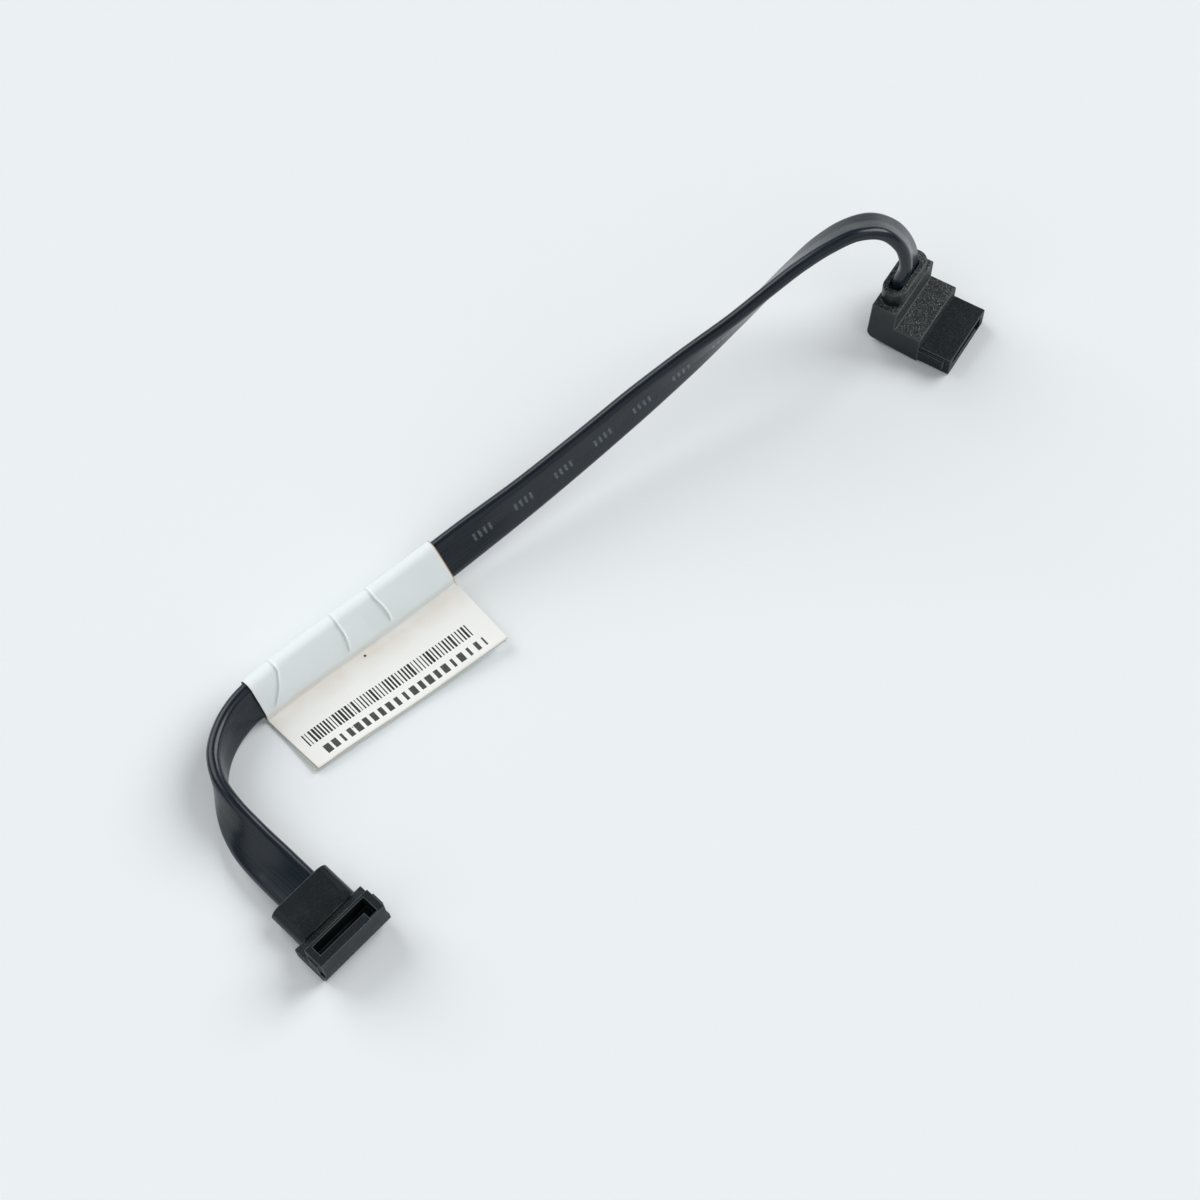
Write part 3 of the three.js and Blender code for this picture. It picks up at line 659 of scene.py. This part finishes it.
def oval_column(name, sizes, y, heights, end_sides=14):
    """An upright column with full-round ends, of the given (length, depth) at each height"""
    rings = []
    for (length, depth), z in zip(sizes, heights):
        ring = []
        for side in (1, -1):
            for i in range(end_sides + 1):
                angle = pi * (i / end_sides - 0.5)
                reach = (length - depth) / 2 + depth / 2 * cos(angle)
                ring.append((side * reach, y + side * depth / 2 * sin(angle), z))
        rings.append(ring)
    return solid(name, rings)


def settle(piece):
    """Makes the piece's modifiers part of its mesh"""
    view = bpy.context.evaluated_depsgraph_get()
    made = bpy.data.meshes.new_from_object(piece.evaluated_get(view))
    piece.modifiers.clear()
    piece.data = made


def shape_with(piece, tool, operation):
    """Joins the tool to the piece or cuts it away, and throws the tool away"""
    change = piece.modifiers.new("shape", "BOOLEAN")
    change.operation = operation
    change.solver = "EXACT"
    change.object = tool
    settle(piece)
    bpy.data.objects.remove(tool)


def round_edges(piece, radius):
    """The small radius on every edge, its faces marked as the third material"""
    body = bmesh.new()
    body.from_mesh(piece.data)
    bmesh.ops.dissolve_limit(body, angle_limit=radians(1), verts=body.verts, edges=body.edges)
    sharp = [
        edge for edge in body.edges
        if len(edge.link_faces) == 2 and edge.calc_face_angle() > rounded_above
    ]
    rounded = bmesh.ops.bevel(
        body, geom=sharp, offset=radius, offset_type="OFFSET", segments=3, profile=0.5,
        affect="EDGES", clamp_overlap=True,
    )
    for face in rounded["faces"]:
        face.material_index = 2
    body.to_mesh(piece.data)
    body.free()


def even_shading(piece):
    """Smooth shading that keeps the large faces flat"""
    piece.data.shade_smooth()
    piece.data.set_sharp_from_angle(angle=sharp_above)
    keeper = piece.modifiers.new("shading", "WEIGHTED_NORMAL")
    keeper.weight = 100
    keeper.keep_sharp = True
    settle(piece)


def moulded_pvc(name, grain_size, grain_depth, shine, pale_least, pale_most):
    """Soft black PVC from a tool with this grain, its grain tops painted pale as a highlight by a share
    between the last two
    """
    material, tree, shader = new_material(name)
    place = add(tree, "ShaderNodeTexCoord").node.outputs["Object"]
    grain_inputs = {"Vector": place, "Scale": 1 / grain_size, "Detail": 5.0, "Roughness": 0.7}
    grain = add(tree, "ShaderNodeTexNoise", grain_inputs)
    patches = add(tree, "ShaderNodeTexNoise", {"Vector": place, "Scale": 1 / (5 * mm), "Detail": 3.0})
    # The grain's tops are painted pale, a painted highlight that stands in for the light the grain
    # scatters
    tops = add(tree, "ShaderNodeMapRange", {0: grain, 1: 0.5, 2: 0.68, 3: pale_least, 4: pale_most})
    black = add(tree, "ShaderNodeMix", {0: patches, 6: "#0a1014", 7: "#121a20"}, data_type="RGBA")
    black_with_painted_grain_highlight = add(tree, "ShaderNodeMix", {0: tops, 6: black, 7: "#8a9090"}, data_type="RGBA")
    motes = add(tree, "ShaderNodeTexVoronoi", {"Vector": place, "Scale": 1 / (0.55 * mm)})
    mote_here = add(tree, "ShaderNodeMapRange", {0: motes, 1: 0.1, 2: 0.24, 3: 1.0, 4: 0.0})
    mote_draw = add(
        tree, "ShaderNodeMapRange",
        {0: motes.node.outputs["Color"], 1: 0.45, 2: 0.85, 3: 0.0, 4: pale_most},
    )
    mote_mask = add(tree, "ShaderNodeMath", {0: mote_here, 1: mote_draw}, operation="MULTIPLY")
    dust_and_painted_highlight = add(tree, "ShaderNodeMix", {0: mote_mask, 6: black_with_painted_grain_highlight, 7: "#b3ab98"}, data_type="RGBA")
    tree.links.new(dust_and_painted_highlight, shader.inputs["Base Color"])
    gloss = add(tree, "ShaderNodeMapRange", {0: patches, 1: 0.3, 2: 0.7, 3: shine, 4: shine + 0.1})
    tree.links.new(gloss, shader.inputs["Roughness"])
    shader.inputs["IOR"].default_value = 1.5
    shader.inputs["Specular IOR Level"].default_value = 0.36
    grain_bump = add(tree, "ShaderNodeBump", {"Height": grain, "Distance": grain_depth})
    tree.links.new(grain_bump, shader.inputs["Normal"])
    return material


# Spark-eroded grain scatters the light and reads dark grey, painted in as paler grain tops, polished
# faces stay black with a soft sheen, and every edge carries a painted highlight in a paler copy of
# the PVC. Pale dust sits in the grain
spark_grain = moulded_pvc("spark_grained_pvc", 0.24 * mm, 0.06 * mm, 0.56, 0.03, 0.85)
fine_grain = moulded_pvc("fine_grained_pvc", 0.22 * mm, 0.035 * mm, 0.6, 0.0, 0.4)
polished = moulded_pvc("polished_pvc", 0.25 * mm, 0.008 * mm, 0.28, 0.0, 0.06)
# The edge finish is a painted highlight: the same PVC made paler, for the rounded edges
painted_edge_highlight_pvc = moulded_pvc("pvc_painted_edge_highlight", 0.2 * mm, 0.02 * mm, 0.32, 0.14, 0.6)


heel_centre = (upright_rear - upright_heel_radius, upright_heel_rise + upright_heel_radius)
upright_outline = [
    (upright_nose_length, 0),
    *arc(heel_centre, upright_heel_radius, -pi / 2, 0, 8).tolist(),
    (upright_rear - upright_rear_lean, upright_rear_height),
    (upright_rear_front, upright_rear_height),
    (upright_rear_front, upright_block_height),
    (upright_nose_length, upright_block_height),
]
upright_half = upright_width / 2
upright_body = drawn_across("upright_plug_body", upright_outline, (-upright_half, upright_half))
gland_heights = (upright_rear_height - fit_gap, upright_gland_top)
gland = oval_column("gland", [upright_gland_size] * 2, upright_gland_y, gland_heights)
for piece in (upright_body, gland):
    for finish in (spark_grain, polished, painted_edge_highlight_pvc):
        piece.data.materials.append(finish)
    round_edges(piece, upright_edge_radius)
shape_with(upright_body, gland, "UNION")
pocket_heights = (upright_seat_floor, upright_gland_top + overrun)
pocket = oval_column("pocket", [hug_size] * 2, upright_gland_y, pocket_heights)
shape_with(upright_body, pocket, "DIFFERENCE")

# The gland's mouth flares more at its -X end
mouth_size = (hug_size[0] + upright_mouth_spread, hug_size[1] + 2 * hug)
wider_size = tuple(length + 2 * overrun * upright_mouth_slope for length in mouth_size)
mouth_heights = (upright_gland_top - upright_mouth_depth, upright_gland_top, upright_gland_top + overrun)
mouth = oval_column("mouth", [hug_size, mouth_size, wider_size], upright_gland_y, mouth_heights)
mouth.data.transform(Matrix.Translation((-upright_mouth_shift, 0, 0)))
shape_with(upright_body, mouth, "DIFFERENCE")

# Inside, a chamber holds the nose's insert, and a duct and a riser take the conductors to the ribbon
chamber_rear = upright_nose_length + upright_insert_length + fit_gap
insert_reach = insert_width / 2 + fit_gap
chamber_heights = (insert_span[0] - fit_gap, insert_span[1] + fit_gap)
chamber = block(
    "chamber", (-insert_reach, insert_reach), (upright_nose_length - overrun, chamber_rear),
    chamber_heights,
)
shape_with(upright_body, chamber, "DIFFERENCE")
riser_half = riser_width / 2
riser_rear = upright_gland_y + riser_thickness / 2
duct = block(
    "duct", (-riser_half, riser_half), (chamber_rear - fit_gap, riser_rear),
    (upright_duct_floor, chamber_heights[1]),
)
shape_with(upright_body, duct, "DIFFERENCE")
riser = block(
    "riser", (-riser_half, riser_half), (riser_rear - riser_thickness, riser_rear),
    (upright_duct_floor, upright_seat_floor + fit_gap),
)
shape_with(upright_body, riser, "DIFFERENCE")
even_shading(upright_body)
upright_body.matrix_world = upright_place


def finish_faces(piece, is_broad):
    """The first finish on the faces that the test picks, the second on the rest, the third on edges"""
    for face in piece.data.polygons:
        if face.material_index != 2:
            face.material_index = 0 if is_broad(face) else 1


# The tops and the front are grained, and the other sides polished
finish_faces(upright_body, lambda face: face.normal.z > 0.7 or face.normal.y < -0.8)
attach(upright_body, "root")
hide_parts("upright_plug_overmould")

# Low plug body
# The same soft PVC: a thin flange round the rear of the nose, and a flat boot with full-round
# sides that the ribbon goes straight into. The plug lies on its back, so its slot looks up.

low_nose_length = 5.05 * mm
low_insert_length = 0.9 * mm
low_depth = 8.3 * mm
low_flange_height = 6.75 * mm
low_heel_depth = 1.7 * mm
low_heel_rise = 0.7 * mm
low_boot_size = (11.8 * mm, 3.9 * mm)
low_boot_length = 6.8 * mm
low_seat_depth = 5.0 * mm
low_edge_radius = 0.13 * mm
low_wire_setback = 6.5 * mm
chamber_wall = 0.9 * mm

# Two low pads stand on the boot's face beside the flange, given by where each lies across it
boot_pad_height = 1.1 * mm
boot_pad_rise = 0.22 * mm
boot_pads = ((-4.9 * mm, -2.9 * mm), (3.5 * mm, 4.9 * mm))

low_boot_y = low_depth - low_boot_size[1] / 2
low_boot_top = low_flange_height + low_boot_length
low_seat_floor = low_boot_top - low_seat_depth
flange_outline = [
    (low_nose_length, 0),
    (low_depth - low_heel_depth, 0),
    (low_depth, low_heel_rise),
    (low_depth, low_flange_height),
    (low_nose_length, low_flange_height),
]

# The ribbon's end stays seated in the boot, and the plug's lowest corner stays on the table
low_seat = Vector((0, low_boot_y, low_seat_floor + fit_gap))
low_at = Vector(ribbon_route[0][:3]) - low_turn @ low_seat
flange_corners = [Vector((x, y, z)) for x in (-upright_half, upright_half) for y, z in flange_outline]
low_at.z = -min((low_turn @ corner).z for corner in flange_corners)
low_place = Matrix.Translation(low_at) @ low_turn.to_4x4()

low_body = drawn_across("low_plug_body", flange_outline, (-upright_half, upright_half))
boot_heights = (low_flange_height - fit_gap, low_boot_top)
boot = oval_column("boot", [low_boot_size] * 2, low_boot_y, boot_heights)
boot_face = low_depth - low_boot_size[1]
pad_back = (boot_face - boot_pad_rise, boot_face + overrun)
pad_up = (low_flange_height - fit_gap, low_flange_height + boot_pad_height)
pads = [block("pad", pad, pad_back, pad_up) for pad in boot_pads]
for piece in (low_body, boot, *pads):
    for finish in (fine_grain, polished, painted_edge_highlight_pvc):
        piece.data.materials.append(finish)
for piece in (low_body, boot):
    round_edges(piece, low_edge_radius)
for piece in (boot, *pads):
    shape_with(low_body, piece, "UNION")
pocket_heights = (low_seat_floor, low_boot_top + overrun)
shape_with(low_body, oval_column("pocket", [hug_size] * 2, low_boot_y, pocket_heights), "DIFFERENCE")
chamber = block(
    "chamber", (-insert_reach, insert_reach), (low_nose_length - overrun, low_depth - chamber_wall),
    chamber_heights,
)
shape_with(low_body, chamber, "DIFFERENCE")
riser = block(
    "riser", (-riser_half, riser_half),
    (low_wire_setback - riser_thickness / 2, low_wire_setback + riser_thickness / 2),
    (insert_span[0] + fit_gap, low_seat_floor + fit_gap),
)
shape_with(low_body, riser, "DIFFERENCE")
even_shading(low_body)
low_body.matrix_world = low_place

# The flange is grained, and the boot polished
finish_faces(low_body, lambda face: face.center.z < low_flange_height)
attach(low_body, "root")
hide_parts("low_plug_overmould")

# Plug noses
# Each nose is one stiff black nylon moulding with glass in it: a thin box round the slot, with a
# key at one end, a rail on each side, and an insert behind it that the body grips. Seven grooves
# in the slot's floor hold the contacts.

nose_width = 13.4 * mm
nose_height = 3.9 * mm
nose_edge_radius = 0.09 * mm
rail_front = 1.3 * mm
rail_span = (0.9 * mm, 3.2 * mm)
slot_half = 10.9 / 2 * mm
slot_span = (1.5 * mm, 3.4 * mm)
key_width = 1.65 * mm
key_floor = 0.3 * mm
contact_count = 7
contact_pitch = 1.27 * mm
contact_shift = -0.75 * mm
groove_half = 0.49 * mm
groove_front = 0.8 * mm
groove_floor = 0.525 * mm
groove_rear_top = 2.525 * mm
upright_slot_depth = 5.0 * mm
low_slot_depth = 4.2 * mm

# Glass-filled nylon: satin black with a fine even grain flecked pale by its glass, and a painted
# highlight along its edges in a paler copy of the finish
nylon_finishes = []
for name, dark, light, tops, shine in (
    ("glass_filled_nylon", "#0b1014", "#141b20", "#565e64", 0.46),
    # This second finish is the painted edge highlight, paler all through
    ("glass_filled_nylon_painted_edge_highlight", "#3e474b", "#566166", "#828d91", 0.36),
):
    nylon, tree, nylon_face = new_material(name)
    place = add(tree, "ShaderNodeTexCoord").node.outputs["Object"]
    grain = add(tree, "ShaderNodeTexNoise", {"Vector": place, "Scale": 1 / (0.2 * mm), "Detail": 4.0})
    patches = add(tree, "ShaderNodeTexNoise", {"Vector": place, "Scale": 1 / (4 * mm), "Detail": 3.0})
    glass = add(tree, "ShaderNodeMapRange", {0: grain, 1: 0.5, 2: 0.75, 3: 0.0, 4: 0.4})
    base = add(tree, "ShaderNodeMix", {0: patches, 6: dark, 7: light}, data_type="RGBA")
    speckled = add(tree, "ShaderNodeMix", {0: glass, 6: base, 7: tops}, data_type="RGBA")
    tree.links.new(speckled, nylon_face.inputs["Base Color"])
    satin = add(tree, "ShaderNodeMapRange", {0: patches, 1: 0.3, 2: 0.7, 3: shine, 4: shine + 0.1})
    tree.links.new(satin, nylon_face.inputs["Roughness"])
    nylon_face.inputs["IOR"].default_value = 1.54
    nylon_face.inputs["Specular IOR Level"].default_value = 0.2
    glass_bump = add(tree, "ShaderNodeBump", {"Height": grain, "Distance": 0.025 * mm})
    tree.links.new(glass_bump, nylon_face.inputs["Normal"])
    nylon_finishes.append(nylon)
plain_nylon, nylon_painted_edge_highlight = nylon_finishes


def plug_nose(name, nose_length, slot_depth, insert_length):
    """A nose in the plug's own frame: x across, y back from the mating face, z up from its underside"""
    half = nose_width / 2
    rear = nose_length + insert_length
    nose = block(name, (-half, half), (0, nose_length), (0, nose_height))
    for finish in (plain_nylon, plain_nylon, nylon_painted_edge_highlight):
        nose.data.materials.append(finish)
    rails = block("rails", (-upright_half, upright_half), (rail_front, nose_length), rail_span)
    shape_with(nose, rails, "UNION")
    key_left = slot_half - key_width
    mouth = [
        (-slot_half, slot_span[0]), (key_left, slot_span[0]), (key_left, key_floor),
        (slot_half, key_floor), (slot_half, slot_span[1]), (-slot_half, slot_span[1]),
    ]
    slot = solid("slot", [[(x, y, z) for x, z in mouth] for y in (-overrun, slot_depth)])
    shape_with(nose, slot, "DIFFERENCE")
    round_edges(nose, nose_edge_radius)
    insert_half = insert_width / 2
    insert = block("insert", (-insert_half, insert_half), (nose_length - fit_gap, rear), insert_span)
    shape_with(nose, insert, "UNION")
    slot_middle = sum(slot_span) / 2
    for i in range(contact_count):
        x = contact_shift + contact_pitch * (i - (contact_count - 1) / 2)
        across = (x - groove_half, x + groove_half)
        front = block("groove", across, (groove_front, slot_depth), (groove_floor, slot_middle))
        shape_with(nose, front, "DIFFERENCE")
        back_reach = (slot_depth - fit_gap, rear + overrun)
        back = block("groove", across, back_reach, (groove_floor, groove_rear_top))
        shape_with(nose, back, "DIFFERENCE")
    even_shading(nose)
    return nose


for prefix, place_matrix, sizes in (
    ("upright_plug", upright_place, (upright_nose_length, upright_slot_depth, upright_insert_length)),
    ("low_plug", low_place, (low_nose_length, low_slot_depth, low_insert_length)),
):
    nose = plug_nose(f"{prefix}_nose", *sizes)
    nose.matrix_world = place_matrix
    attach(nose, "root")
    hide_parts(f"{prefix}_housing")

# Contacts
# Fourteen springs stamped from phosphor bronze strip, gold plated over nickel. They stay as the
# model has them, and the plating shows faint lines along the strip from the rolling.

gold, tree, plating = new_material("gold_plated_bronze")
place = add(tree, "ShaderNodeTexCoord").node.outputs["Object"]
rolled = add(tree, "ShaderNodeVectorMath", {0: place, 1: (8.0, 0.6, 0.6)}, operation="MULTIPLY")
rolling = add(tree, "ShaderNodeTexNoise", {"Vector": rolled, "Scale": 1 / (0.5 * mm), "Detail": 2.0})
plate_colour = add(tree, "ShaderNodeMix", {0: rolling, 6: "#c99b45", 7: "#e2bc6a"}, data_type="RGBA")
tree.links.new(plate_colour, plating.inputs["Base Color"])
plate_gloss = add(tree, "ShaderNodeMapRange", {0: rolling, 1: 0.3, 2: 0.7, 3: 0.2, 4: 0.36})
tree.links.new(plate_gloss, plating.inputs["Roughness"])
plating.inputs["Metallic"].default_value = 1.0
rolling_bump = add(tree, "ShaderNodeBump", {"Height": rolling, "Distance": 0.004 * mm})
tree.links.new(rolling_bump, plating.inputs["Normal"])

# Conductors
# The pairs and the bare ground wires are tinned copper, drawn and tinned hot, so they are bright
# grey with a soft unevenness in the tin. They run inside the bodies, from the contacts to the ribbon.

tin, tree, tinning = new_material("tinned_copper")
place = add(tree, "ShaderNodeTexCoord").node.outputs["Object"]
beads = add(tree, "ShaderNodeTexNoise", {"Vector": place, "Scale": 1 / (0.6 * mm), "Detail": 3.0})
tin_colour = add(tree, "ShaderNodeMix", {0: beads, 6: "#a9adb1", 7: "#cfd2d4"}, data_type="RGBA")
tree.links.new(tin_colour, tinning.inputs["Base Color"])
tin_gloss = add(tree, "ShaderNodeMapRange", {0: beads, 1: 0.3, 2: 0.7, 3: 0.22, 4: 0.42})
tree.links.new(tin_gloss, tinning.inputs["Roughness"])
tinning.inputs["Metallic"].default_value = 1.0
bead_bump = add(tree, "ShaderNodeBump", {"Height": beads, "Distance": 0.012 * mm})
tree.links.new(bead_bump, tinning.inputs["Normal"])

for name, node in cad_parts.items():
    if "_contact_" in name or "_wire_" in name:
        for material_slot in node.material_slots:
            material_slot.material = gold if "_contact_" in name else tin

# Floor and light
# A matt pale sheet in a studio. Two broad soft lamps behind the cable, one on each side, do most of
# the work and give each plug a soft shadow on both sides. Two weak ones fill in from the front.

paper_roll, tree, floor_face = new_material("matt_background_paper")
floor_face.inputs["Base Color"].default_value = linear("#f1f5f6")
floor_face.inputs["Roughness"].default_value = 0.9
floor_face.inputs["Specular IOR Level"].default_value = 0.2
floor_half = 20
floor = block("floor", (-floor_half, floor_half), (-floor_half, floor_half), (-1 * mm, 0))
floor.data.materials.append(paper_roll)

world = bpy.data.worlds.new("studio_room")
scene.world = world
world.use_nodes = True
room_light = world.node_tree.nodes["Background"]
room_light.inputs["Color"].default_value = linear("#e4eff8")
room_light.inputs["Strength"].default_value = 0.13

for name, right, away, up, strength, spread in (
    ("left_softbox", -0.75, 0.55, 0.72, 1.42, 48),
    ("right_softbox", 0.75, 0.45, 0.72, 1.95, 42),
    ("left_fill", -0.6, -0.6, 0.6, 0.56, 60),
    ("right_fill", 0.6, -0.6, 0.6, 0.4, 60),
):
    lamp = bpy.data.objects.new(name, bpy.data.lights.new(name, "SUN"))
    lamp.data.energy = strength
    lamp.data.angle = radians(spread)
    towards = right * photo_right + away * photo_away + Vector((0, 0, up))
    lamp.rotation_euler = towards.to_track_quat("Z", "Y").to_euler()
    scene.collection.objects.link(lamp)

scene.view_settings.view_transform = "Standard"
